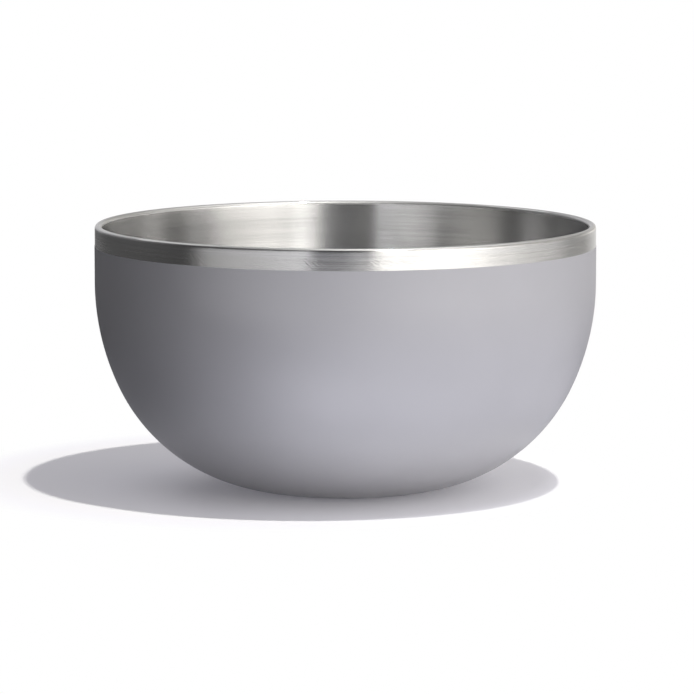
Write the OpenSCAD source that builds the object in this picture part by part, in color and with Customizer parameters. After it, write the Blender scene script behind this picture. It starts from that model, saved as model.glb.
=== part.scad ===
// Double-walled vacuum bowl in stainless steel, coated outside and brushed inside.
// The origin is the centre of the foot ring's lower face and +Z is the bowl's axis, all in millimetres.
// A steel liner with a rolled lip hangs by its rim weld in a drawn steel shell, and touches it nowhere else.
// Each wall is the strip between two like outlines: a straight wall, a side arc, a heel arc and a flat.

/* [Bowl] */
// Outside diameter of the bare steel band under the lip
bowl_d = 280; // [260:1:300]
// Height of the rim above the surface that the bowl stands on
bowl_h = 149; // [140:0.5:160]
// Height of the shell's straight upper wall, measured down from the rim
wall_h = 32; // [26:0.5:38]
// Diameter of the flat under the shell, where the heel arc ends
base_d = 72; // [66:1:84]
// Angle in degrees that the side arc turns through before the heel arc takes over
side_turn = 25; // [20:1:30]
// Height of the bare steel band, from the rim down to the coat
band_h = 11.7; // [9:0.1:18]
// Thickness of the coat on the shell
coat_t = 0.2; // [0.15:0.05:0.4]

/* [Shell] */
// Sheet thickness of the shell
shell_t = 0.6; // [0.5:0.05:0.9]
// Height of the shell's bottom above the surface, which keeps the coat off it
shell_lift = 0.5; // [0.45:0.05:1]
// Width of the flat ring round the recess in the shell's bottom
ring_w = 3; // [2:0.1:5]
// Bare width left between the edge of the recess and the coat
coat_margin = 1; // [0.5:0.1:1.5]
// Depth of the recess that the base cover sits in
recess_h = 2; // [1.8:0.1:2.6]
// Radius of the dimple round the pump-out port
dimple_r = 9; // [8:0.1:9.5]
// Depth of that dimple
dimple_h = 1.6; // [1.4:0.1:2]
// Radius of the pump-out port
port_r = 1.2; // [0.8:0.1:1.6]

/* [Liner] */
// Sheet thickness of the liner
liner_t = 0.6; // [0.5:0.05:0.9]
// Width of the rolled lip
lip_w = 4; // [3.4:0.1:5]
// Height of the straight mouth that a lid seals in, measured down from the rim
mouth_h = 14; // [10:0.5:20]
// Height of the floor inside the bowl above the surface
floor_h = 13; // [12:0.5:16]
// Diameter of the flat floor inside the bowl
floor_d = 76; // [66:1:86]
// Angle in degrees that the liner's side arc turns through
liner_turn = 25; // [20:1:30]
// Straight height of the lip's outer leg, down to the rim weld
lip_leg_h = 3; // [2:0.1:4]

/* [Rim weld] */
// Height of the seam between the lip's leg and the shell
weld_h = 0.8; // [0.6:0.1:1.2]
// Radius of the bead that stands out of the seam on its hidden side
weld_root_r = 0.25; // [0.15:0.05:0.29]

/* [Heat shield] */
// Thickness of the copper foil on the liner's hidden side
foil_t = 0.2; // [0.15:0.05:0.3]
// Clearance between the foil, which is wrapped loosely, and the liner
foil_fit = 0.2; // [0.1:0.05:0.3]
// Number of foil gores round the liner
gore_count = 8; // [6:1:12]
// Gap between the gores at the mouth
gore_gap = 3; // [2:0.5:6]
// Distance from the rim down to the top of the foil
foil_drop = 20; // [16:0.5:30]
// Radius of the bare round that the gores leave under the floor
foil_bare_r = 16; // [12:1:24]

/* [Getter] */
// Radius of the getter pellet
getter_r = 4.5; // [3.5:0.1:5]
// Thickness of the getter pellet
getter_h = 2.2; // [1.5:0.1:3]
// Width of the strap that clips the pellet down
clip_w = 5; // [3:0.1:7]
// Sheet thickness of the strap
clip_t = 0.3; // [0.2:0.05:0.4]
// Length of each of the strap's two feet
clip_foot = 2.5; // [2:0.1:3]
// Radius of the strap's bends, at the middle of the sheet
clip_bend_r = 0.4; // [0.3:0.05:0.5]
// Clearance between the pellet and the strap's legs
clip_fit = 0.2; // [0.1:0.05:0.3]

/* [Port seal] */
// Radius of the solder-glass seal under the port
seal_r = 4; // [3:0.1:5]
// Height of the seal's crown
seal_h = 1.2; // [0.8:0.1:1.3]

/* [Base cover] */
// Sheet thickness of the base cover
cover_t = 0.6; // [0.5:0.05:0.7]
// Clearance between the cover's edge and the wall of the recess
cover_fit = 0.3; // [0.1:0.05:0.5]
// Flat width of the foot ring that the bowl stands on
foot_w = 3.5; // [2.5:0.1:5]
// Radius of the bend up to the cover's edge, at the middle of the sheet
edge_bend_r = 0.8; // [0.6:0.05:1]
// Thickness of the bond between the cover and the shell
bond_t = 0.2; // [0.15:0.05:0.3]
// Width left free between the bond and the dimple, and between the bond and the foot
bond_margin = 1.5; // [1:0.1:2]

/* [Hidden] */
$fn = 144;

// How far a cutting shape runs past what it cuts
overrun = 1;
quadrant = 90;
full_turn = 360;

// Shell, from the rim down to the recess
bowl_r = bowl_d / 2;
base_r = base_d / 2;
wall_z = bowl_h - wall_h;
recess_edge_r = base_r - ring_w;
recess_flat_r = recess_edge_r - recess_h;
recess_wall_r = recess_edge_r - recess_h / 2 - shell_t / 2;
recess_z = shell_lift + recess_h;
dimple_flat_r = dimple_r - dimple_h;
dimple_z = recess_z + dimple_h;

// Liner and lip
lip_r = lip_w / 2;
lip_z = bowl_h - lip_r;
mouth_r = bowl_r - lip_w;
mouth_z = bowl_h - mouth_h;
floor_r = floor_d / 2;
lip_mid_r = lip_r - liner_t / 2;
leg_z = lip_z - lip_leg_h;
weld_z = leg_z - weld_h;

// Heat shield: the gap as an angle at the mouth
gore_pitch = full_turn / gore_count;
gore_gap_angle = asin(gore_gap / mouth_r);

// Getter, midway across the flat that the recess leaves on the vacuum side
getter_x = (dimple_r + recess_flat_r) / 2;
vacuum_floor_z = recess_z + shell_t;
strap_z = vacuum_floor_z + getter_h + clip_t / 2;
strap_foot_z = vacuum_floor_z + clip_t / 2;
leg_x = getter_r + clip_fit + clip_t / 2;

// Port seal: the sphere that has the seal's radius and crown
seal_sphere_r = (seal_r * seal_r + seal_h * seal_h) / (2 * seal_h);

// Base cover, from its edge in to its panel
cover_edge_r = recess_wall_r - cover_fit - cover_t / 2;
foot_out_r = cover_edge_r - edge_bend_r;
foot_in_r = foot_out_r - foot_w;
foot_mid_z = cover_t / 2;
panel_mid_z = recess_z - bond_t - cover_t / 2;
panel_rise = panel_mid_z - foot_mid_z;
panel_r = foot_in_r - panel_rise;
bond_in_r = dimple_r + bond_margin;
bond_out_r = panel_r - bond_margin;

// The two radii that join a vertical wall to a flat with one turn between them.
// reach is how far the outline comes in and drop how far it goes down. They solve
// reach = side (1 - cos turn) + heel cos turn and drop = side sin turn + heel (1 - sin turn).
function side_arc(reach, drop, turn) =
    (drop * cos(turn) - reach * (1 - sin(turn))) / (sin(turn) + cos(turn) - 1);
function heel_arc(reach, drop, turn) =
    (reach * sin(turn) - drop * (1 - cos(turn))) / (sin(turn) + cos(turn) - 1);

// Everything inside a bowl's outline, from the axis out, with grow added all round below the top.
module bowl_outline(wall_r, flat_r, top_z, arc_z, flat_z, turn, grow = 0) {
    side = side_arc(wall_r - flat_r, arc_z - flat_z, turn) + grow;
    heel = heel_arc(wall_r - flat_r, arc_z - flat_z, turn) + grow;
    out_r = wall_r + grow;
    low_z = flat_z - grow;
    join_z = arc_z - side * sin(turn);
    translate([0, arc_z]) square([out_r, top_z - arc_z]);
    intersection() {
        translate([out_r - side, arc_z]) circle(side);
        translate([0, join_z]) square([out_r + overrun, arc_z - join_z]);
    }
    intersection() {
        translate([flat_r, low_z + heel]) circle(heel);
        translate([flat_r, low_z - overrun]) square([out_r, join_z - low_z + overrun]);
    }
    translate([0, low_z]) square([flat_r, arc_z - low_z]);
}

// Outline of the shell's outer face, with its top at top_z
module shell_outline(top_z, grow = 0) {
    bowl_outline(bowl_r, base_r, top_z, wall_z, shell_lift, side_turn, grow);
}

// Outline of the inside of the liner, with its top at top_z
module liner_outline(top_z, grow = 0) {
    bowl_outline(mouth_r, floor_r, top_z, mouth_z, floor_h, liner_turn, grow);
}

// A quarter of a ring: sheet of the given thickness bent through a right angle about the origin.
// From zero turn it runs from pointing out along X round to pointing up.
module quarter_bend(mid_r, sheet_t, turn = 0) {
    rotate(turn) intersection() {
        difference() {
            circle(mid_r + sheet_t / 2);
            circle(mid_r - sheet_t / 2);
        }
        square(mid_r + sheet_t);
    }
}

// A step in a sheet whose middle is at low_z outside edge_r and rises to a flat further in
module sheet_step(edge_r, low_z, rise, sheet_t) {
    bend_r = rise / 2;
    translate([edge_r, low_z + bend_r]) quarter_bend(bend_r, sheet_t, 2 * quadrant);
    translate([edge_r - rise, low_z + bend_r]) quarter_bend(bend_r, sheet_t);
}

// A flat ring of sheet between two radii, with its lower face at low_z
module flat_strip(in_r, out_r, low_z, strip_h) {
    translate([in_r, low_z]) square([out_r - in_r, strip_h]);
}

// Deep-drawn liner: straight mouth, round side, flat floor and a lip rolled outwards over the shell
module inner_liner() {
    color("silver") rotate_extrude() {
        difference() {
            liner_outline(lip_z, liner_t);
            liner_outline(lip_z + overrun);
        }
        translate([mouth_r + lip_r, lip_z]) {
            quarter_bend(lip_mid_r, liner_t);
            quarter_bend(lip_mid_r, liner_t, quadrant);
        }
        flat_strip(bowl_r - liner_t, bowl_r, leg_z, lip_leg_h);
    }
}

// Deep-drawn shell: its bottom steps up into a recess, and again into the dimple with the port
module outer_shell() {
    color("silver") rotate_extrude() {
        difference() {
            shell_outline(weld_z);
            shell_outline(weld_z + overrun, -shell_t);
            translate([0, -overrun]) square([recess_edge_r, recess_z + overrun]);
        }
        sheet_step(recess_edge_r, shell_lift + shell_t / 2, recess_h, shell_t);
        flat_strip(dimple_r, recess_flat_r, recess_z, shell_t);
        sheet_step(dimple_r, recess_z + shell_t / 2, dimple_h, shell_t);
        flat_strip(port_r, dimple_flat_r, dimple_z, shell_t);
    }
}

// Seam between the lip's leg and the shell, flush outside, with its root bead in the vacuum space
module rim_weld() {
    color("gainsboro") rotate_extrude() {
        flat_strip(bowl_r - shell_t, bowl_r, weld_z, weld_h);
        translate([bowl_r - shell_t, weld_z + weld_h / 2]) circle(weld_root_r);
    }
}

// Coat on the shell's outside, from under the band down to the flat ring of the bottom
module powder_coat() {
    color("thistle") rotate_extrude() intersection() {
        difference() {
            shell_outline(bowl_h, coat_t);
            shell_outline(bowl_h + overrun);
        }
        translate([recess_edge_r + coat_margin, 0])
            square([bowl_r, bowl_h - band_h]);
    }
}

// Copper foil gores wrapped round the liner's hidden side
module foil_gores() {
    foil_top_z = bowl_h - foil_drop;
    for (i = [0 : gore_count - 1])
        color("peru")
            rotate_extrude(angle = gore_pitch - gore_gap_angle, start = i * gore_pitch)
                intersection() {
                    difference() {
                        liner_outline(bowl_h, liner_t + foil_fit + foil_t);
                        liner_outline(bowl_h + overrun, liner_t + foil_fit);
                    }
                    translate([foil_bare_r, 0]) square([bowl_r, foil_top_z]);
                }
}

// Pellet that binds the last gas in the vacuum space, on the raised flat of the shell's bottom
module getter_pellet() {
    color("dimgray") translate([getter_x, 0, vacuum_floor_z])
        cylinder(r = getter_r, h = getter_h);
}

// One half of the strap's outline, from the pellet's axis out to the end of a foot
module strap_half() {
    translate([0, strap_z - clip_t / 2]) square([leg_x - clip_bend_r, clip_t]);
    translate([leg_x - clip_bend_r, strap_z - clip_bend_r]) quarter_bend(clip_bend_r, clip_t);
    translate([leg_x - clip_t / 2, strap_foot_z + clip_bend_r])
        square([clip_t, strap_z - strap_foot_z - 2 * clip_bend_r]);
    translate([leg_x + clip_bend_r, strap_foot_z + clip_bend_r])
        quarter_bend(clip_bend_r, clip_t, 2 * quadrant);
    translate([leg_x + clip_bend_r, vacuum_floor_z]) square([clip_foot, clip_t]);
}

// Spring strap over the pellet, with a foot on each side that is spot welded to the shell
module getter_clip() {
    color("gainsboro") translate([getter_x, clip_w / 2, 0]) rotate([quadrant, 0, 0])
        linear_extrude(clip_w) {
            strap_half();
            mirror([1, 0]) strap_half();
        }
}

// Solder glass that fills the port and crowns below it in the dimple
module port_seal() {
    color("darkslategray") rotate_extrude() {
        intersection() {
            translate([0, dimple_z - seal_h + seal_sphere_r]) circle(seal_sphere_r);
            translate([0, dimple_z - seal_h - overrun])
                square([seal_r + overrun, seal_h + overrun]);
        }
        translate([0, dimple_z]) square([port_r, shell_t]);
    }
}

// Stamped cover in the recess: raised panel, foot ring pressed down to the surface, edge turned up
module base_cover() {
    color("silver") rotate_extrude() {
        flat_strip(0, panel_r, panel_mid_z - cover_t / 2, cover_t);
        sheet_step(foot_in_r, foot_mid_z, panel_rise, cover_t);
        flat_strip(foot_in_r, foot_out_r, 0, cover_t);
        translate([foot_out_r, foot_mid_z + edge_bend_r])
            quarter_bend(edge_bend_r, cover_t, -quadrant);
    }
}

// Bond ring that holds the cover's panel to the ceiling of the recess
module cover_bond() {
    color("darkkhaki") rotate_extrude()
        flat_strip(bond_in_r, bond_out_r, recess_z - bond_t, bond_t);
}

inner_liner();
outer_shell();
rim_weld();
powder_coat();
foil_gores();
getter_pellet();
getter_clip();
port_seal();
base_cover();
cover_bond();
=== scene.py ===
"""The looks of a double-walled steel bowl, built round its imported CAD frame.

Lengths are metres and angles degrees unless a name says otherwise. The bowl stands on z = 0 with its
axis on Z, and the camera looks along +Y. Sheet pieces are closed profiles turned about the axis, worked
out as whole numpy arrays. Pieces that the walls hide keep their CAD mesh and get a finish of their own.
"""
import logging
import math
from dataclasses import dataclass
from enum import Enum

import bpy
import numpy as np
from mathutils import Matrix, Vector


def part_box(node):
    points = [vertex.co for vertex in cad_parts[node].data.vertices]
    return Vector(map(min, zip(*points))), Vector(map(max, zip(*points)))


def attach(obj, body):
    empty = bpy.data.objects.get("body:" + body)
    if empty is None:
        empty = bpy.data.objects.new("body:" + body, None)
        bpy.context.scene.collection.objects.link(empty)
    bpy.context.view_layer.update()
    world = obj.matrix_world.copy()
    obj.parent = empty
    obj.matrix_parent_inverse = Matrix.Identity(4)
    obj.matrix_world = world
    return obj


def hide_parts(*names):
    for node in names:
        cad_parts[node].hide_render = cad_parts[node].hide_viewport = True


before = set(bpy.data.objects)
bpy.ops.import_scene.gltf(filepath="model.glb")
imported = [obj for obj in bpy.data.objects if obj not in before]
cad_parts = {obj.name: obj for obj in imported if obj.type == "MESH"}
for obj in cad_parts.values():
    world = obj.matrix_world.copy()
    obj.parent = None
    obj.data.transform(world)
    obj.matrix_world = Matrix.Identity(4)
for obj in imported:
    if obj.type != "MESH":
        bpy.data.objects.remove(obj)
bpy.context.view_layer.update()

BODY = "root"
# Attributes of the meshes: the way along a sheet's profile, and a cloth's light
SHEET_RUN = "sheet_run"
LIGHT = "light"
MM = 0.001
QUARTER_TURN = 90.0
HALF_TURN = 180.0
WHITE = (1.0, 1.0, 1.0)
# Points that lie closer than this are one
NEARLY = 1e-7
# A range of height or radius that the bowl doesn't reach
NOWHERE = (1.0, 1.1)
# Radius of the bare steel outside
OUT_R = 140 * MM
# Steps round the outer and the inner face of a bend in the sheet
BEND_STEPS = (8, 6)

log = logging.getLogger("bowl")


class Hanging(Enum):
    """Where a cloth hangs or lies: its rows, which are circles about the axis, as radius and height."""

    ROUND_BOWL = ((3.0, 0.0), (3.0, 0.42), (3.0, 1.09), (3.0, 2.1), (3.0, 4.28))
    OVERHEAD = ((2.99, 4.28), (1.25, 4.67), (0.01, 5.0))
    NEAR_FLOOR = ((0.135, 0.002), (0.2, 0.002), (0.45, 0.002))
    FAR_FLOOR = ((0.45, 0.002), (1.0, 0.002), (2.99, 0.002))


# Shader maths


@dataclass(frozen=True)
class Signal:
    """A socket that carries a number or a colour; the operators add Math nodes to its tree.

    Args:
        shader: the shader that the socket belongs to.
        socket: the output socket.
    """

    shader: "Shader"
    socket: bpy.types.NodeSocket

    def maths(self, operation: str, first: "Signal | float", second: "Signal | float") -> "Signal":
        """Adds one Math node.

        Args:
            operation: the node's operation.
            first: its first value.
            second: its second value.

        Returns:
            The node's result.
        """
        return self.shader.node("ShaderNodeMath", {"operation": operation}, {0: first, 1: second})

    def __add__(self, other: "Signal | float") -> "Signal":
        """self + other."""
        return self.maths("ADD", self, other)

    def __radd__(self, other: float) -> "Signal":
        """other + self."""
        return self.maths("ADD", other, self)

    def __sub__(self, other: "Signal | float") -> "Signal":
        """self - other."""
        return self.maths("SUBTRACT", self, other)

    def __rsub__(self, other: float) -> "Signal":
        """other - self."""
        return self.maths("SUBTRACT", other, self)

    def __mul__(self, other: "Signal | float") -> "Signal":
        """self * other."""
        return self.maths("MULTIPLY", self, other)

    def __rmul__(self, other: float) -> "Signal":
        """other * self."""
        return self.maths("MULTIPLY", other, self)

    def __truediv__(self, other: "Signal | float") -> "Signal":
        """self / other."""
        return self.maths("DIVIDE", self, other)

    def __pow__(self, power: float) -> "Signal":
        """self to a power."""
        return self.maths("POWER", self, power)

    def at_least(self, limit: "Signal | float") -> "Signal":
        """The greater of self and a limit."""
        return self.maths("MAXIMUM", self, limit)

    def around(self, middle: float, swing: float) -> "Signal":
        """A wave of 0 to 1 made into one that strays by swing to either side of a middle."""
        return (self - 0.5) * (2 * swing) + middle

    def step_between(self, low: float, high: float) -> "Signal":
        """A smooth step that is 0 at low and 1 at high."""
        return self.shader.node("ShaderNodeMapRange", {"interpolation_type": "SMOOTHSTEP"},
                                {"Value": self, "From Min": low, "From Max": high})


class Shader:
    """One material's node tree, with its output node in place."""

    def __init__(self, name: str) -> None:
        """Makes the material with an empty tree.

        Args:
            name: the material's name.
        """
        self.material = bpy.data.materials.new(name)
        self.material.use_nodes = True
        self.tree = self.material.node_tree
        self.tree.nodes.clear()
        self.result = self.tree.nodes.new("ShaderNodeOutputMaterial")

    def node(self, kind: str, settings: dict[str, object] | None = None,
             sockets: dict[int | str, object] | None = None, output: int | str = 0) -> Signal:
        """Adds a node of any type.

        Args:
            kind: the node's type name.
            settings: the node's own properties, set first.
            sockets: values or links of its input sockets, by name or number.
            output: the output socket wanted.

        Returns:
            That output.
        """
        made = self.tree.nodes.new(kind)
        for key, value in (settings or {}).items():
            setattr(made, key, value)
        for key, value in (sockets or {}).items():
            if isinstance(value, Signal):
                self.tree.links.new(value.socket, made.inputs[key])
            else:
                made.inputs[key].default_value = value
        return Signal(self, made.outputs[output])

    def finish(self, surface: Signal) -> bpy.types.Material:
        """Links the surface to the output.

        Args:
            surface: the closure that the material shows.

        Returns:
            The finished material.
        """
        self.tree.links.new(surface.socket, self.result.inputs["Surface"])
        return self.material

    def place(self) -> Signal:
        """The point's own place on its object, in metres."""
        return self.node("ShaderNodeTexCoord", output="Object")

    def axes(self, point: Signal) -> tuple[Signal, Signal, Signal]:
        """The three numbers of a point."""
        split = self.node("ShaderNodeSeparateXYZ", sockets={0: point}).socket.node
        return tuple(Signal(self, split.outputs[i]) for i in range(3))

    def point(self, x: Signal | float, y: Signal | float, z: Signal | float) -> Signal:
        """A point from its three numbers."""
        return self.node("ShaderNodeCombineXYZ", sockets={0: x, 1: y, 2: z})

    def noise(self, point: Signal, scale: float = 1.0, detail: float = 2.0, rough: float = 0.5,
              warp: float = 0.0) -> Signal:
        """Smooth noise of one value in 0 to 1, about 0.5 on average.

        Args:
            point: where it is read.
            scale: cells per unit of the point.
            detail: how many finer layers it has.
            rough: how strong each finer layer is beside the one before.
            warp: how far the pattern is bent.

        Returns:
            The noise.
        """
        return self.node("ShaderNodeTexNoise", {"noise_dimensions": "3D"},
                         {"Vector": point, "Scale": scale, "Detail": detail, "Roughness": rough,
                          "Distortion": warp})

    def blend(self, share: Signal | float, low: tuple | Signal, high: tuple | Signal) -> Signal:
        """A colour between two, by a share from 0 to 1."""
        # The Mix node keeps its colour sockets at numbers 6 and 7, and its colour result at 2
        return self.node("ShaderNodeMix", {"data_type": "RGBA"}, {0: share, 6: low, 7: high}, output=2)

    def tones(self, colour: tuple[float, float, float], wave: Signal, swing: float) -> Signal:
        """A colour that darkens and lightens with a wave.

        Args:
            colour: the colour at the wave's middle.
            wave: a wave of 0 to 1.
            swing: the share of the colour that it gains or loses at the wave's ends.

        Returns:
            The colour.
        """
        return self.blend(wave.around(0.5, swing), opaque(colour, 0.5), opaque(colour, 1.5))

    def bump(self, height: Signal, depth: float) -> Signal:
        """A normal that follows a height of 0 to 1, which stands for depth metres."""
        return self.node("ShaderNodeBump", sockets={"Height": height, "Distance": depth})

    def surface(self, sockets: dict[str, object]) -> Signal:
        """A Principled surface with the given sockets."""
        return self.node("ShaderNodeBsdfPrincipled", sockets=sockets)

    def either(self, share: Signal, first: Signal, second: Signal) -> Signal:
        """Two surfaces mixed, with the second's share from 0 to 1."""
        return self.node("ShaderNodeMixShader", sockets={0: share, 1: first, 2: second})


def opaque(colour: tuple[float, float, float], scale: float = 1.0) -> tuple[float, float, float, float]:
    """A colour with full alpha, made lighter or darker by a factor."""
    return (*(channel * scale for channel in colour), 1.0)


# Finishes


@dataclass(frozen=True)
class BrushedSteel:
    """Stainless sheet brushed round the axis.

    The brush lines are noise stretched round the axis: a line is line_length long, and its width is
    measured along the sheet's own profile, which the mesh carries as an attribute. highlight_turn, a
    share of a full turn, draws the highlights out across the lines. Scuffs are strokes that climb across
    the lines and tilt the surface. Above lip_z and within lip_r the sheet is rubbed: satin_share of it is
    an even satin, and the rest shines more.
    """

    name: str = "band_steel"
    colour: tuple[float, float, float] = (0.652, 0.65, 0.646)
    roughness: float = 0.25
    anisotropy: float = 1.0
    highlight_turn: float = 0.25
    line_length: float = 0.06
    line_widths: tuple[float, float, float] = (0.00025, 0.0006, 0.0014)
    line_shares: tuple[float, float, float] = (0.45, 0.35, 0.2)
    colour_swing: float = 0.28
    roughness_swing: float = 0.1
    line_depth: float = 0.000003
    scuff_size: tuple[float, float] = (0.004, 0.0011)
    scuff_slope: float = 0.7
    scuff_depth: float = 0.00008
    lip_z: tuple[float, float] = NOWHERE
    lip_r: tuple[float, float] = NOWHERE
    lip_polish: float = 0.12
    lip_satin: float = 0.55
    satin_share: float = 0.6

    def material(self) -> bpy.types.Material:
        """Builds the steel.

        Returns:
            The material.
        """
        shader = Shader(self.name)
        x, y, z = shader.axes(shader.place())
        run = shader.node("ShaderNodeAttribute", {"attribute_name": SHEET_RUN}, output="Fac")
        along = 1 / self.line_length
        layers = [shader.noise(shader.point(x * along, y * along, run / width), detail=1.0)
                  for width in self.line_widths]
        lines = sum(layer * share for layer, share in zip(layers, self.line_shares))
        colour = shader.tones(self.colour, lines, self.colour_swing)
        brushed = lines.around(self.roughness, self.roughness_swing)
        radius = (x * x + y * y) ** 0.5
        lip = z.step_between(*self.lip_z) * (1 - radius.step_between(*self.lip_r))
        polished = brushed - lip * (self.roughness - self.lip_polish)
        long, wide = (1 / size for size in self.scuff_size)
        scuff = shader.noise(shader.point(x * long, y * long, (run + x * self.scuff_slope) * wide))
        depth = self.line_depth + self.scuff_depth
        height = lines * (self.line_depth / depth) + scuff * (self.scuff_depth / depth)
        wall = shader.surface({
            "Base Color": colour, "Metallic": 1.0, "Roughness": polished, "Anisotropic": self.anisotropy,
            "Anisotropic Rotation": self.highlight_turn, "Normal": shader.bump(height, depth)})
        satin = shader.surface({"Base Color": colour, "Metallic": 1.0, "Roughness": self.lip_satin})
        return shader.finish(shader.either(lip * self.satin_share, wall, satin))


@dataclass(frozen=True)
class PowderCoat:
    """Semi-matte coat with a very fine grain and a faint cloudiness."""

    name: str = "lilac_coat"
    colour: tuple[float, float, float] = (0.37, 0.369, 0.4)
    roughness: float = 0.38
    roughness_swing: float = 0.04
    grain_size: float = 0.0006
    grain_depth: float = 0.000006
    cloud_size: float = 0.03
    cloud_swing: float = 0.03

    def material(self) -> bpy.types.Material:
        """Builds the coat.

        Returns:
            The material.
        """
        shader = Shader(self.name)
        place = shader.place()
        grain = shader.noise(place, 1 / self.grain_size)
        cloud = shader.noise(place, 1 / self.cloud_size, detail=3.0)
        return shader.finish(shader.surface({
            "Base Color": shader.tones(self.colour, cloud, self.cloud_swing),
            "Roughness": grain.around(self.roughness, self.roughness_swing),
            "Normal": shader.bump(grain, self.grain_depth)}))


@dataclass(frozen=True)
class CrinkledFoil:
    """Bright copper foil with soft crinkles and larger, duller stains."""

    name: str = "copper_foil"
    colour: tuple[float, float, float] = (0.9, 0.5, 0.34)
    roughness: float = 0.22
    crease_size: float = 0.012
    crease_depth: float = 0.0006
    stains_per_crease: float = 0.4
    stain_tones: tuple[float, float] = (0.8, 1.05)
    stain_roughness: float = 0.15

    def material(self) -> bpy.types.Material:
        """Builds the foil.

        Returns:
            The material.
        """
        shader = Shader(self.name)
        place = shader.place()
        crease = shader.noise(place, 1 / self.crease_size, detail=4.0, rough=0.6, warp=0.8)
        stain = shader.noise(place, self.stains_per_crease / self.crease_size, detail=3.0)
        dark, light = (opaque(self.colour, tone) for tone in self.stain_tones)
        return shader.finish(shader.surface({
            "Base Color": shader.blend(stain, dark, light), "Metallic": 1.0,
            "Roughness": stain * self.stain_roughness + self.roughness,
            "Normal": shader.bump(crease, self.crease_depth)}))


@dataclass(frozen=True)
class Grained:
    """A plain solid finish with a grain: sintered alloy, mill steel, glass or cured film."""

    name: str
    colour: tuple[float, float, float]
    roughness: float
    metallic: float = 0.0
    grain_size: float = 0.0004
    grain_depth: float = 0.00002
    colour_swing: float = 0.2
    roughness_swing: float = 0.075

    def material(self) -> bpy.types.Material:
        """Builds the finish.

        Returns:
            The material.
        """
        shader = Shader(self.name)
        grain = shader.noise(shader.place(), 1 / self.grain_size, detail=3.0)
        return shader.finish(shader.surface({
            "Base Color": shader.tones(self.colour, grain, self.colour_swing), "Metallic": self.metallic,
            "Roughness": grain.around(self.roughness, self.roughness_swing),
            "Normal": shader.bump(grain, self.grain_depth)}))


# Profiles and turned meshes


def line(start: tuple[float, float], end: tuple[float, float], count: int = 1) -> np.ndarray:
    """Points along a straight run: start plus a share of the way to the end.

    Args:
        start: first point, as radius and height.
        end: last point.
        count: how many equal steps the run has.

    Returns:
        An array of count + 1 points.
    """
    share = np.linspace(0.0, 1.0, count + 1)[:, None]
    return np.asarray(start) + share * (np.asarray(end) - np.asarray(start))


def arc(centre: tuple[float, float], radius: float, start: float, end: float, count: int) -> np.ndarray:
    """Points round an arc: the centre plus the radius times the cosine and sine of the angle.

    Args:
        centre: the arc's centre, as radius and height.
        radius: the arc's radius.
        start: first angle, from the outward direction towards up.
        end: last angle.
        count: how many equal steps the arc has.

    Returns:
        An array of count + 1 points.
    """
    angle = np.radians(np.linspace(start, end, count + 1))
    return np.asarray(centre) + radius * np.column_stack([np.cos(angle), np.sin(angle)])


def joined(*runs: np.ndarray) -> np.ndarray:
    """Runs of points end to end, with a point that two runs share kept once.

    Args:
        runs: arrays of points.

    Returns:
        One array of points.
    """
    points = np.vstack(runs)
    step = np.linalg.norm(np.diff(points, axis=0), axis=1)
    return points[np.concatenate([[True], step > NEARLY])]


@dataclass(frozen=True)
class BowlOutline:
    """A straight wall, a side arc, a heel arc and a flat, each tangent to the next.

    With reach the distance from wall to flat and drop the height of the two arcs, the radii solve
    reach = side (1 - cos turn) + heel cos turn and drop = side sin turn + heel (1 - sin turn).
    """

    wall_r: float
    flat_r: float
    arc_z: float
    flat_z: float
    turn: float

    def radii(self) -> tuple[float, float]:
        """Solves the two arcs.

        Returns:
            The side arc's radius and the heel arc's.
        """
        sine, cosine = math.sin(math.radians(self.turn)), math.cos(math.radians(self.turn))
        reach, drop = self.wall_r - self.flat_r, self.arc_z - self.flat_z
        side = (drop * cosine - reach * (1 - sine)) / (sine + cosine - 1)
        heel = (reach * sine - drop * (1 - cosine)) / (sine + cosine - 1)
        return side, heel

    def points(self, top_z: float, inner_r: float, grow: float = 0.0,
               steps: tuple[int, int, int, int] = (6, 30, 48, 8)) -> np.ndarray:
        """The outline from the top of the wall down and in along the flat.

        Args:
            top_z: height where the wall starts.
            inner_r: radius where the flat ends.
            grow: how far outside the outline the points lie.
            steps: steps in the wall, the side arc, the heel arc and the flat.

        Returns:
            The points.
        """
        side, heel = self.radii()
        wall, round_side, round_heel, flat = steps
        out_r, low_z = self.wall_r + grow, self.flat_z - grow
        return joined(
            line((out_r, top_z), (out_r, self.arc_z), wall),
            arc((self.wall_r - side, self.arc_z), side + grow, 0.0, -self.turn, round_side),
            arc((self.flat_r, self.flat_z + heel), heel + grow, -self.turn, -QUARTER_TURN, round_heel),
            line((self.flat_r, low_z), (inner_r, low_z), flat))


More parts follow.
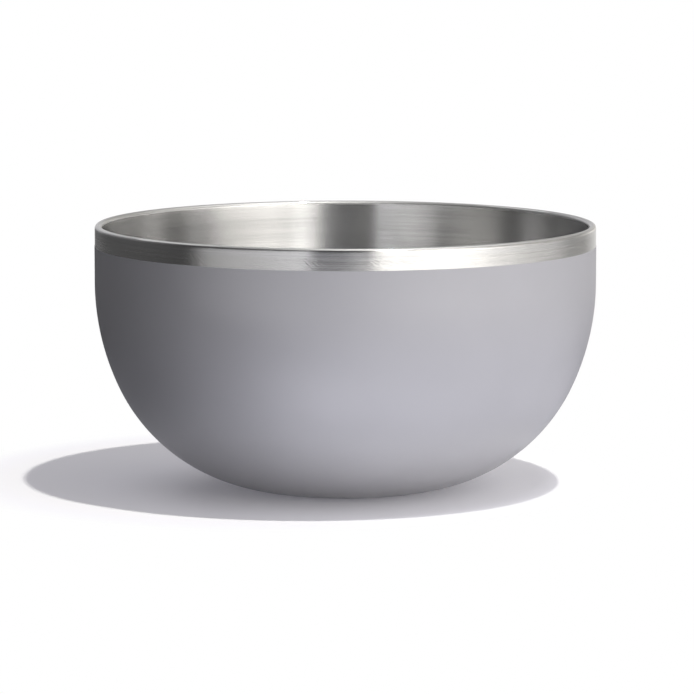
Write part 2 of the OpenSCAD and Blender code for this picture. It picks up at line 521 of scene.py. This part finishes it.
@dataclass(frozen=True)
class Turned:
    """A profile turned about the axis into one closed mesh.

    A grid point is (r cos a, r sin a, z), with a the angle round the axis. A profile that starts and ends
    on the axis closes with one point at each end; any other profile is a loop.
    """

    name: str
    profile: np.ndarray
    segments: int = 384
    crease_angle: float = 30.0

    def mesh(self) -> bpy.types.Mesh:
        """Builds the mesh with smooth faces, creased rings and the sheet_run attribute.

        Returns:
            The mesh.
        """
        points, on_axis = self._counter_clockwise()
        rings = points[1:-1] if on_axis else points
        count = len(rings)
        angle = np.arange(self.segments) * (2 * np.pi / self.segments)
        grid = np.stack([np.outer(rings[:, 0], np.cos(angle)), np.outer(rings[:, 0], np.sin(angle)),
                         np.repeat(rings[:, 1:], self.segments, axis=1)], axis=-1)
        vertices = grid.reshape(-1, 3)
        index = np.arange(count * self.segments).reshape(count, self.segments)
        after = np.roll(index, -1, axis=1)
        below, above = (slice(0, -1), slice(1, None)) if on_axis else (slice(None), slice(None))
        upper = index if on_axis else np.roll(index, -1, axis=0)
        upper_after = after if on_axis else np.roll(after, -1, axis=0)
        quads = np.stack([index[below], after[below], upper_after[above], upper[above]], axis=-1)
        faces = quads.reshape(-1, 4).tolist()
        run = self._run(rings)
        values = np.repeat(run, self.segments)
        if on_axis:
            start, end = len(vertices), len(vertices) + 1
            vertices = np.vstack([vertices, [0, 0, points[0, 1]], [0, 0, points[-1, 1]]])
            values = np.concatenate([values, [0.0, run[-1] + rings[-1, 0]]])
            first = np.column_stack([np.full(self.segments, start), after[0], index[0]])
            last = np.column_stack([np.full(self.segments, end), index[-1], after[-1]])
            faces += first.tolist() + last.tolist()
        mesh = bpy.data.meshes.new(self.name)
        mesh.from_pydata(vertices.tolist(), [], faces)
        mesh.shade_smooth()
        attribute = mesh.attributes.new(SHEET_RUN, "FLOAT", "POINT")
        attribute.data.foreach_set("value", values.astype(np.float32))
        self._crease(mesh, points, rings, on_axis)
        mesh.update()
        return mesh

    def _counter_clockwise(self) -> tuple[np.ndarray, bool]:
        """Gives the profile the sense in which faces point outwards.

        Returns:
            The profile, and whether it starts and ends on the axis.
        """
        points = np.asarray(self.profile, float)
        on_axis = points[0, 0] < NEARLY and points[-1, 0] < NEARLY
        if not on_axis and np.allclose(points[0], points[-1], atol=NEARLY):
            points = points[:-1]
        following = np.roll(points, -1, axis=0)
        area = np.sum(points[:, 0] * following[:, 1] - following[:, 0] * points[:, 1])
        return (points if area > 0 else points[::-1]), on_axis

    @staticmethod
    def _run(rings: np.ndarray) -> np.ndarray:
        """The length of profile up to each ring, counted from the first ring's radius."""
        step = np.linalg.norm(np.diff(rings, axis=0), axis=1)
        return rings[0, 0] + np.concatenate([[0.0], np.cumsum(step)])

    def _crease(self, mesh: bpy.types.Mesh, points: np.ndarray, rings: np.ndarray, on_axis: bool) -> None:
        """Marks the rings where the profile turns by more than the crease angle as sharp edges.

        Args:
            mesh: the mesh to mark.
            points: the whole profile.
            rings: the profile without its ends on the axis.
            on_axis: whether the profile starts and ends on the axis.
        """
        before = points[:-2] if on_axis else np.roll(points, 1, axis=0)
        after = points[2:] if on_axis else np.roll(points, -1, axis=0)
        came, goes = rings - before, after - rings
        turn = np.arctan2(came[:, 0] * goes[:, 1] - came[:, 1] * goes[:, 0], np.sum(came * goes, axis=1))
        sharp_ring = np.abs(turn) > math.radians(self.crease_angle)
        edges = np.zeros(len(mesh.edges) * 2, np.int32)
        mesh.edges.foreach_get("vertices", edges)
        ring_of = edges.reshape(-1, 2) // self.segments
        safe = np.minimum(ring_of, len(rings) - 1)
        sharp = (ring_of[:, 0] == ring_of[:, 1]) & sharp_ring[safe[:, 0]] & (ring_of[:, 0] < len(rings))
        attribute = mesh.attributes.new("sharp_edge", "BOOLEAN", "EDGE")
        attribute.data.foreach_set("value", sharp)

    def stand_for(self, *nodes: str, slot: str, material: bpy.types.Material) -> bpy.types.Object:
        """Puts the mesh into the scene in place of CAD nodes.

        Args:
            nodes: the CAD nodes that it stands for.
            slot: a material slot's name; not used.
            material: the finish.

        Returns:
            The new object.
        """
        piece = bpy.data.objects.new(self.name, self.mesh())
        piece.data.materials.append(material)
        bpy.context.scene.collection.objects.link(piece)
        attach(piece, BODY)
        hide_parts(*nodes)
        log.info("%s: %d faces, stands for %s", self.name, len(piece.data.polygons), ", ".join(nodes))
        return piece


# Sub-assemblies


@dataclass(frozen=True)
class Liner:
    """The deep-drawn inner bowl with its rolled lip."""

    rim_z: float
    out_r: float = OUT_R
    sheet: float = 0.6 * MM
    lip_w: float = 4 * MM
    mouth_h: float = 14 * MM
    floor_z: float = 13 * MM
    floor_r: float = 38 * MM
    turn: float = 25.0
    leg_h: float = 3 * MM
    lip_steps: tuple[int, int] = (28, 14)
    leg_steps: tuple[int, int] = (3, 2)

    def profile(self) -> np.ndarray:
        """The sheet's closed profile: up the inside, over the lip, down its leg, back and down the outside.

        Returns:
            The points, from the axis to the axis.
        """
        lip_r = self.lip_w / 2
        mouth_r = self.out_r - self.lip_w
        lip_z = self.rim_z - lip_r
        lip_centre = (mouth_r + lip_r, lip_z)
        outline = BowlOutline(mouth_r, self.floor_r, self.rim_z - self.mouth_h, self.floor_z, self.turn)
        inside = outline.points(lip_z, 0.0)[::-1]
        outside = outline.points(lip_z, 0.0, grow=self.sheet)
        leg_z = lip_z - self.leg_h
        leg_in_r = self.out_r - self.sheet
        outer_steps, inner_steps = self.lip_steps
        down_steps, up_steps = self.leg_steps
        return joined(
            inside,
            arc(lip_centre, lip_r, HALF_TURN, 0.0, outer_steps),
            line((self.out_r, lip_z), (self.out_r, leg_z), down_steps),
            line((self.out_r, leg_z), (leg_in_r, leg_z)),
            line((leg_in_r, leg_z), (leg_in_r, lip_z), up_steps),
            arc(lip_centre, lip_r - self.sheet, 0.0, HALF_TURN, inner_steps),
            outside)

    def build(self, steel: bpy.types.Material) -> bpy.types.Object:
        """Makes the liner and puts it in its CAD node's place."""
        return Turned("liner", self.profile()).stand_for("inner_liner", slot="liner_steel", material=steel)


@dataclass(frozen=True)
class Shell:
    """The drawn outer shell, its rim weld and its coat."""

    rim_z: float
    coat_r: float
    top_z: float
    weld_top_z: float
    out_r: float = OUT_R
    sheet: float = 0.6 * MM
    wall_h: float = 32 * MM
    base_r: float = 36 * MM
    turn: float = 25.0
    lift: float = 0.5 * MM
    ring_w: float = 3 * MM
    recess_h: float = 2 * MM
    dimple_r: float = 9 * MM
    dimple_h: float = 1.6 * MM
    port_r: float = 1.2 * MM
    band_h: float = 11.7 * MM
    coat_margin: float = 1 * MM
    root_r: float = 0.25 * MM
    root_steps: int = 8

    def outline(self) -> BowlOutline:
        """The outline of the shell's outer face."""
        return BowlOutline(self.out_r, self.base_r, self.rim_z - self.wall_h, self.lift, self.turn)

    def step_up(self, edge_r: float, low_z: float, rise: float) -> tuple[np.ndarray, np.ndarray]:
        """The two faces of a step in the sheet, which rises inwards through two quarter bends.

        Args:
            edge_r: radius where the step starts.
            low_z: height of the sheet's middle outside the step.
            rise: height of the step.

        Returns:
            The lower face's points and the upper face's, both going inwards.
        """
        bend, half = rise / 2, self.sheet / 2
        wide, tight = BEND_STEPS
        low = (edge_r, low_z + bend)
        high = (edge_r - rise, low_z + bend)
        under = joined(arc(low, bend + half, -QUARTER_TURN, -HALF_TURN, wide),
                       arc(high, bend - half, 0.0, QUARTER_TURN, tight))
        over = joined(arc(low, bend - half, -QUARTER_TURN, -HALF_TURN, tight),
                      arc(high, bend + half, 0.0, QUARTER_TURN, wide))
        return under, over

    def profile(self) -> np.ndarray:
        """The sheet's closed profile, down the outside, in to the port and back up the inside.

        Returns:
            The points, as a loop.
        """
        half = self.sheet / 2
        edge_r = self.base_r - self.ring_w
        recess_z = self.lift + self.recess_h
        outside = self.outline().points(self.top_z, edge_r)
        inside = self.outline().points(self.top_z, edge_r, grow=-self.sheet)
        recess_under, recess_over = self.step_up(edge_r, self.lift + half, self.recess_h)
        dimple_under, dimple_over = self.step_up(self.dimple_r, recess_z + half, self.dimple_h)
        dimple_z = recess_z + self.dimple_h
        port = line((self.port_r, dimple_z), (self.port_r, dimple_z + self.sheet))
        down = joined(outside, recess_under, dimple_under, port[:1])
        back = joined(port[1:], dimple_over[::-1], recess_over[::-1], inside[::-1])
        return joined(down, back, outside[:1])

    def weld_profile(self) -> np.ndarray:
        """The seam's closed profile: flush outside, with a round root bead on its hidden side.

        Returns:
            The points, as a loop.
        """
        in_r = self.out_r - self.sheet
        middle_z = (self.top_z + self.weld_top_z) / 2
        return joined(
            line((self.out_r, self.top_z), (self.out_r, self.weld_top_z)),
            line((self.out_r, self.weld_top_z), (in_r, self.weld_top_z)),
            arc((in_r, middle_z), self.root_r, QUARTER_TURN, QUARTER_TURN + HALF_TURN, self.root_steps),
            line((in_r, self.top_z), (self.out_r, self.top_z)))

    def coat_profile(self) -> np.ndarray:
        """The coat's closed profile: its outer face, and its inner face on the shell.

        Returns:
            The points, as a loop.
        """
        edge_r = self.base_r - self.ring_w + self.coat_margin
        top_z = self.rim_z - self.band_h
        outside = self.outline().points(top_z, edge_r, grow=self.coat_r - self.out_r)
        inside = self.outline().points(top_z, edge_r)
        return joined(outside, inside[::-1], outside[:1])

    def build(self, steel: bpy.types.Material, coat: bpy.types.Material) -> None:
        """Makes the shell, the seam and the coat and puts them in their CAD nodes' places.

        Args:
            steel: the finish of the shell and the seam.
            coat: the finish of the coat.
        """
        Turned("shell", self.profile()).stand_for("outer_shell", slot="shell_steel", material=steel)
        Turned("rim_seam", self.weld_profile()).stand_for("rim_weld", slot="weld_steel", material=steel)
        Turned("coat", self.coat_profile()).stand_for("powder_coat", slot="lilac_coat", material=coat)


@dataclass(frozen=True)
class BaseCover:
    """The stamped cover under the bowl: a raised panel, a foot ring and an edge turned up."""

    edge_r: float
    panel_top_z: float = 2.3 * MM
    sheet: float = 0.6 * MM
    foot_w: float = 3.5 * MM
    edge_bend: float = 0.8 * MM
    panel_steps: int = 6
    foot_steps: int = 2

    def profile(self) -> np.ndarray:
        """The sheet's closed profile: out along the underside, round the edge and back along the top.

        Returns:
            The points, from the axis to the axis.
        """
        half = self.sheet / 2
        middle_z = self.panel_top_z - half
        rise = middle_z - half
        bend = rise / 2
        out_r = self.edge_r - half - self.edge_bend
        in_r = out_r - self.foot_w
        panel_r = in_r - rise
        low, high = (in_r, half + bend), (panel_r, half + bend)
        edge = (out_r, half + self.edge_bend)
        wide, tight = BEND_STEPS
        under = joined(line((0.0, middle_z - half), (panel_r, middle_z - half), self.panel_steps),
                       arc(high, bend - half, QUARTER_TURN, 0.0, tight),
                       arc(low, bend + half, -HALF_TURN, -QUARTER_TURN, wide),
                       line((in_r, 0.0), (out_r, 0.0), self.foot_steps),
                       arc(edge, self.edge_bend + half, -QUARTER_TURN, 0.0, wide))
        over = joined(arc(edge, self.edge_bend - half, 0.0, -QUARTER_TURN, tight),
                      line((out_r, self.sheet), (in_r, self.sheet), self.foot_steps),
                      arc(low, bend - half, -QUARTER_TURN, -HALF_TURN, tight),
                      arc(high, bend + half, 0.0, QUARTER_TURN, wide),
                      line((panel_r, middle_z + half), (0.0, middle_z + half), self.panel_steps))
        return joined(under, over)

    def build(self, steel: bpy.types.Material) -> bpy.types.Object:
        """Makes the cover and puts it in its CAD node's place."""
        return Turned("foot_cover", self.profile()).stand_for("base_cover", slot="cover_steel",
                                                              material=steel)


@dataclass(frozen=True)
class VacuumParts:
    """The pieces between the walls and under the shell, which keep their CAD meshes."""

    foil: CrinkledFoil = CrinkledFoil()
    pellet: Grained = Grained("getter_alloy", (0.12, 0.12, 0.125), 0.7, metallic=0.6, grain_size=0.0003)
    strap: Grained = Grained("strap_steel", (0.55, 0.55, 0.54), 0.34, metallic=1.0, grain_depth=0.000004)
    seal: Grained = Grained("solder_glass", (0.05, 0.06, 0.07), 0.12, grain_size=0.002)
    bond: Grained = Grained("bond_film", (0.35, 0.33, 0.28), 0.45, grain_size=0.0015)

    def dress(self) -> None:
        """Gives each CAD node that stays its finish."""
        finishes = {"foil_gores": self.foil, "getter_pellet": self.pellet, "getter_clip": self.strap,
                    "port_seal": self.seal, "cover_bond": self.bond}
        for node, finish in finishes.items():
            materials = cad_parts[node].data.materials
            materials.clear()
            materials.append(finish.material())
            log.info("%s: dressed as %s", node, finish.name)


# Stage


def towards(azimuth: float, elevation: float) -> Vector:
    """The direction of a compass angle; azimuth 0 is over the camera and grows to the camera's right."""
    turn, rise = math.radians(azimuth), math.radians(elevation)
    return Vector((math.sin(turn) * math.cos(rise), -math.cos(turn) * math.cos(rise), math.sin(rise)))


@dataclass(frozen=True)
class Softbox:
    """A flat lamp that faces the bowl."""

    name: str
    azimuth: float
    elevation: float
    distance: float
    width: float
    height: float
    radiance: float
    colour: tuple[float, float, float] = WHITE

    def build(self, aim: Vector) -> bpy.types.Object:
        """Makes the lamp.

        Args:
            aim: the point that it faces.

        Returns:
            The lamp.
        """
        away = towards(self.azimuth, self.elevation)
        lamp = bpy.data.lights.new(self.name, "AREA")
        lamp.shape = "RECTANGLE"
        lamp.color = self.colour
        lamp.size, lamp.size_y = self.width, self.height
        # A flat lamp's power is pi times its radiance and its area
        lamp.energy = math.pi * self.radiance * self.width * self.height
        placed = bpy.data.objects.new(self.name, lamp)
        placed.location = aim + away * self.distance
        placed.rotation_euler = away.to_track_quat("Z", "Y").to_euler()
        placed.visible_camera = False
        bpy.context.scene.collection.objects.link(placed)
        return placed


@dataclass(frozen=True)
class Screen:
    """A cloth that the camera doesn't see, hung round the bowl or laid on the floor round it.

    Each stop is an azimuth with the cloth's light there, one number for each row of its hanging, and
    between the stops and rows the light changes evenly. Only the face that looks at the bowl is there,
    and where the light is little the cloth is a dark flag.
    """

    name: str
    hanging: Hanging
    stops: tuple[tuple[float, tuple[float, ...]], ...]
    colour: tuple[float, float, float] = WHITE
    step: float = 1.5

    def _grid(self) -> tuple[np.ndarray, np.ndarray]:
        """Lays the cloth out, with radius, height and light read off between its rows and stops.

        Returns:
            The grid's points, and the light that each of them carries.
        """
        places = np.array([place for place, _ in self.stops])
        lights = np.array([light for _, light in self.stops])
        azimuth = np.linspace(places[0], places[-1], int((places[-1] - places[0]) / self.step) + 1)
        light = np.stack([np.interp(azimuth, places, row) for row in lights.T])
        radius, height = np.array(self.hanging.value).T[:, :, None]
        turn = np.radians(azimuth)[None, :]
        points = np.stack([radius * np.sin(turn), -radius * np.cos(turn), height + 0 * turn], axis=-1)
        return points, light

    def build(self) -> bpy.types.Object:
        """Makes the cloth as a grid whose points carry its light.

        Returns:
            The cloth.
        """
        points, light = self._grid()
        rows, columns = light.shape
        index = np.arange(rows * columns).reshape(rows, columns)
        faces = np.stack([index[:-1, :-1], index[1:, :-1], index[1:, 1:], index[:-1, 1:]], axis=-1)
        mesh = bpy.data.meshes.new(self.name)
        mesh.from_pydata(points.reshape(-1, 3).tolist(), [], faces.reshape(-1, 4).tolist())
        mesh.attributes.new(LIGHT, "FLOAT", "POINT").data.foreach_set("value", light.ravel())
        shader = Shader(self.name)
        away = shader.node("ShaderNodeNewGeometry", output="Backfacing")
        glow = shader.node("ShaderNodeAttribute", {"attribute_name": LIGHT}, output="Fac")
        face = shader.node("ShaderNodeEmission", sockets={"Color": opaque(self.colour), "Strength": glow})
        mesh.materials.append(shader.finish(
            shader.either(away, face, shader.node("ShaderNodeBsdfTransparent"))))
        placed = bpy.data.objects.new(self.name, mesh)
        placed.visible_camera = False
        bpy.context.scene.collection.objects.link(placed)
        return placed


@dataclass(frozen=True)
class Stage:
    """Floor, backdrop, lamps, screens and camera.

    Where the floor is seen it glows. Under the bowl and round it, where the floor keeps the bowl's shadow,
    the glow is a painted fill light on that shadow: weaker near the bowl, stronger further out, and tinted
    lilac.
    Beyond white_fade the glow is full and the floor is plain white.
    """

    lens: float = 223.65
    sensor: float = 36.0
    stand: tuple[float, float, float] = (0.0, -2.4, 0.3834)
    aim: tuple[float, float, float] = (0.0009, 0.0, 0.0793)
    floor_size: float = 60.0
    floor_colour: tuple[float, float, float] = (0.985, 0.985, 0.985)
    shade_centre: tuple[float, float] = (-0.02, 0.0)
    shade_fade: tuple[float, float] = (0.05, 0.12)
    # Painted fill light on the bowl's shadow: the glow's share near the bowl, and further out
    painted_shadow_lift: tuple[float, float] = (0.14, 0.27)
    # Painted lilac tint of that fill light in the shadow
    painted_shadow_tint: tuple[float, float, float] = (0.91, 0.89, 1.0)
    white_centre: tuple[float, float] = (-0.04, 0.038)
    white_fade: tuple[float, float] = (0.148, 0.19)
    sky: float = 0.6
    sky_colour: tuple[float, float, float] = (0.92, 0.92, 1.0)
    lamp_aim: tuple[float, float, float] = (0.0, 0.0, 0.08)
    lamps: tuple[Softbox, ...] = (
        Softbox("overhead_key", 40.5, 70.1, 2.787, 0.077, 0.077, 3300.0, (1.0, 0.985, 0.95)),
        Softbox("back_left_box", -140.0, 45.0, 2.9, 1.05, 1.05, 1.2),
    )
    screens: tuple[Screen, ...] = (
        Screen("right_cloth", Hanging.ROUND_BOWL, (
            (10.0, (0.05, 0.05, 0.05, 0.05, 0.05)),
            (12.5, (3.2, 1.6, 0.1, 0.1, 0.1)),
            (16.0, (3.7, 3.3, 0.3, 0.1, 0.1)),
            (26.0, (1.5, 5.9, 0.8, 0.1, 0.1)),
            (38.0, (1.5, 6.8, 2.0, 0.3, 1.2)),
            (52.0, (3.4, 6.1, 1.0, 1.6, 2.4)),
            (62.0, (3.3, 5.5, 0.6, 0.9, 1.6)),
            (74.0, (4.9, 2.2, 0.2, 0.2, 0.7)),
            (90.0, (3.7, 0.7, 0.5, 0.5, 1.0)),
            (122.0, (0.8, 0.4, 0.5, 0.6, 1.0)),
            (140.0, (1.1, 0.8, 0.3, 0.3, 0.4)),
            (152.0, (1.4, 1.0, 0.3, 0.2, 0.2)),
            (158.0, (1.1, 0.7, 0.3, 0.2, 0.3)),
            (170.0, (0.8, 0.7, 0.3, 0.2, 0.4))), (1.0, 0.97, 0.92)),
        Screen("left_cloth", Hanging.ROUND_BOWL, (
            (-190.0, (0.8, 0.7, 0.3, 0.2, 0.4)),
            (-168.0, (0.9, 0.7, 0.3, 0.2, 0.4)),
            (-162.0, (0.1, 0.7, 1.0, 0.6, 0.5)),
            (-140.0, (0.05, 0.1, 0.3, 0.2, 0.2)),
            (-71.0, (0.04, 0.04, 0.04, 0.04, 0.04)),
            (-64.0, (1.2, 0.1, 0.04, 0.04, 0.04)),
            (-50.0, (2.6, 0.3, 0.04, 0.04, 0.04)),
            (-26.0, (1.5, 1.9, 0.2, 0.04, 0.04)),
            (-17.0, (0.9, 2.4, 1.0, 0.04, 0.04)),
            (-13.5, (0.04, 0.04, 0.04, 0.04, 0.04)),
            (10.0, (0.04, 0.04, 0.04, 0.04, 0.04))), (0.99, 0.98, 1.0)),
        Screen("ceiling_cloth", Hanging.OVERHEAD, (
            (-180.0, (0.6, 0.5, 0.3)),
            (-150.0, (0.5, 0.4, 0.3)),
            (-120.0, (0.2, 0.2, 0.3)),
            (-90.0, (0.05, 0.1, 0.3)),
            (80.0, (0.05, 0.1, 0.3)),
            (110.0, (0.7, 0.5, 0.3)),
            (150.0, (0.6, 0.5, 0.3)),
            (180.0, (0.6, 0.5, 0.3)))),
        Screen("near_floor_cloth", Hanging.NEAR_FLOOR, (
            (-180.0, (0.3, 0.2, 0.2)),
            (-160.0, (0.3, 0.4, 0.1)),
            (-75.0, (0.4, 0.05, 0.04)),
            (-58.0, (0.6, 0.05, 0.04)),
            (-40.0, (0.5, 0.1, 0.04)),
            (-25.0, (0.3, 1.0, 0.04)),
            (-10.0, (0.3, 2.6, 0.1)),
            (8.0, (0.4, 2.3, 0.3)),
            (60.0, (0.5, 1.5, 0.8)),
            (100.0, (0.7, 1.0, 0.9)),
            (135.0, (0.4, 0.3, 0.2)),
            (155.0, (0.3, 0.2, 0.2)),
            (180.0, (0.3, 0.2, 0.2))), (0.93, 0.93, 1.0)),
        Screen("far_floor_cloth", Hanging.FAR_FLOOR, (
            (-180.0, (0.4, 1.1, 1.4)),
            (-162.0, (0.05, 0.1, 0.12)),
            (-72.0, (0.15, 0.1, 0.15)),
            (-62.0, (0.1, 1.0, 0.9)),
            (-50.0, (0.1, 1.0, 1.2)),
            (-25.0, (0.1, 1.0, 1.0)),
            (-10.0, (0.3, 0.2, 0.1)),
            (0.0, (0.5, 0.3, 0.1)),
            (5.0, (1.0, 0.8, 0.3)),
            (16.0, (0.3, 0.2, 0.1)),
            (60.0, (0.4, 0.2, 0.1)),
            (100.0, (1.0, 0.2, 0.05)),
            (135.0, (0.2, 0.2, 0.3)),
            (155.0, (0.5, 0.6, 0.6)),
            (180.0, (0.4, 1.1, 1.4))), (1.0, 0.99, 0.98)),
    )

    def build(self) -> None:
        """Makes the whole stage."""
        self._camera()
        self._floor()
        self._world()
        for lamp in self.lamps:
            lamp.build(Vector(self.lamp_aim))
        for screen in self.screens:
            screen.build()
        bpy.context.scene.view_settings.view_transform = "Standard"

    def _camera(self) -> None:
        """Makes the camera at the photograph's angle."""
        camera = bpy.data.cameras.new("camera")
        camera.lens, camera.sensor_width = self.lens, self.sensor
        placed = bpy.data.objects.new("camera", camera)
        placed.location = self.stand
        placed.rotation_euler = (Vector(self.aim) - Vector(self.stand)).to_track_quat("-Z", "Y").to_euler()
        bpy.context.scene.collection.objects.link(placed)
        bpy.context.scene.camera = placed

    @staticmethod
    def _seen_directly(shader: "Shader") -> Signal:
        """Tells the rays that see a thing directly from those that only light other things.

        Args:
            shader: the shader that asks.

        Returns:
            1 for rays from the camera and for what metal and glass show, else 0.
        """
        rays = shader.node("ShaderNodeLightPath").socket.node
        camera, glossy, clear = (Signal(shader, rays.outputs[name])
                                 for name in ("Is Camera Ray", "Is Glossy Ray", "Is Transmission Ray"))
        return camera.at_least(glossy).at_least(clear)

    @staticmethod
    def _distance(x: Signal, y: Signal, centre: tuple[float, float]) -> Signal:
        """How far a floor point is from a centre."""
        across, back = x - centre[0], y - centre[1]
        return (across * across + back * back) ** 0.5

    def _floor(self) -> None:
        """Makes the floor: pale and shadowed near the bowl, with a painted fill light on the shadow, plain
        white further out.
        """
        half = self.floor_size / 2
        mesh = bpy.data.meshes.new("floor")
        mesh.from_pydata([(-half, -half, 0), (half, -half, 0), (half, half, 0), (-half, half, 0)], [],
                         [(0, 1, 2, 3)])
        shader = Shader("floor")
        x, y, _ = shader.axes(shader.place())
        # The painted fill light on the shadow, weaker near the bowl and stronger further out
        deep, edge = self.painted_shadow_lift
        painted_shadow_fill = (self._distance(x, y, self.shade_centre).step_between(*self.shade_fade) * (edge - deep)
                     + deep)
        whiter = self._distance(x, y, self.white_centre).step_between(*self.white_fade)
        glow = painted_shadow_fill + whiter * (1.0 - edge)
        share = glow * self._seen_directly(shader)
        pale = shader.node("ShaderNodeBsdfDiffuse", sockets={"Color": opaque(self.floor_colour)})
        # The glow is lilac in the shadow, a painted shadow tint, and white beyond it
        tint = shader.blend(whiter, opaque(self.painted_shadow_tint), opaque(WHITE))
        white = shader.node("ShaderNodeEmission", sockets={"Color": tint})
        mesh.materials.append(shader.finish(shader.either(share, pale, white)))
        floor = bpy.data.objects.new("floor", mesh)
        bpy.context.scene.collection.objects.link(floor)

    def _world(self) -> None:
        """Makes the backdrop white where it is seen, and its light on the bowl as strong as sky says."""
        world = bpy.data.worlds.new("studio")
        world.use_nodes = True
        shader = WorldShader(world)
        colour = shader.blend(self._seen_directly(shader), opaque(self.sky_colour, self.sky),
                              opaque(WHITE))
        shader.finish(shader.node("ShaderNodeBackground", sockets={"Color": colour}))
        bpy.context.scene.world = world


class WorldShader(Shader):
    """The world's node tree, with its output node in place."""

    def __init__(self, world: bpy.types.World) -> None:
        """Takes the world's tree and empties it.

        Args:
            world: the world that it belongs to.
        """
        self.material = world
        self.tree = world.node_tree
        self.tree.nodes.clear()
        self.result = self.tree.nodes.new("ShaderNodeOutputWorld")


def main() -> None:
    """Builds the bowl and its stage."""
    logging.basicConfig(level=logging.INFO, format="%(name)s: %(message)s")
    liner_box, shell_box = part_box("inner_liner"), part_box("outer_shell")
    coat_box, cover_box, weld_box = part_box("powder_coat"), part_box("base_cover"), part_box("rim_weld")
    rim_z = liner_box[1].z
    coat_r = min(-coat_box[0].x, coat_box[1].x, -coat_box[0].y, coat_box[1].y)
    band_steel = BrushedSteel().material()
    liner_steel = BrushedSteel("liner_steel", (0.65, 0.65, 0.652), line_length=0.12, colour_swing=0.34,
                               roughness_swing=0.03, line_depth=0.000001, scuff_depth=0.000001,
                               lip_z=(rim_z - 2.4 * MM, rim_z - 1.8 * MM),
                               lip_r=(OUT_R - 0.55 * MM, OUT_R - 0.25 * MM)).material()
    coat = PowderCoat().material()
    Liner(rim_z).build(liner_steel)
    Shell(rim_z, coat_r, top_z=shell_box[1].z, weld_top_z=weld_box[1].z).build(band_steel, coat)
    BaseCover(edge_r=min(cover_box[1].x, cover_box[1].y)).build(band_steel)
    VacuumParts().dress()
    Stage().build()


if __name__ == "__main__":
    main()
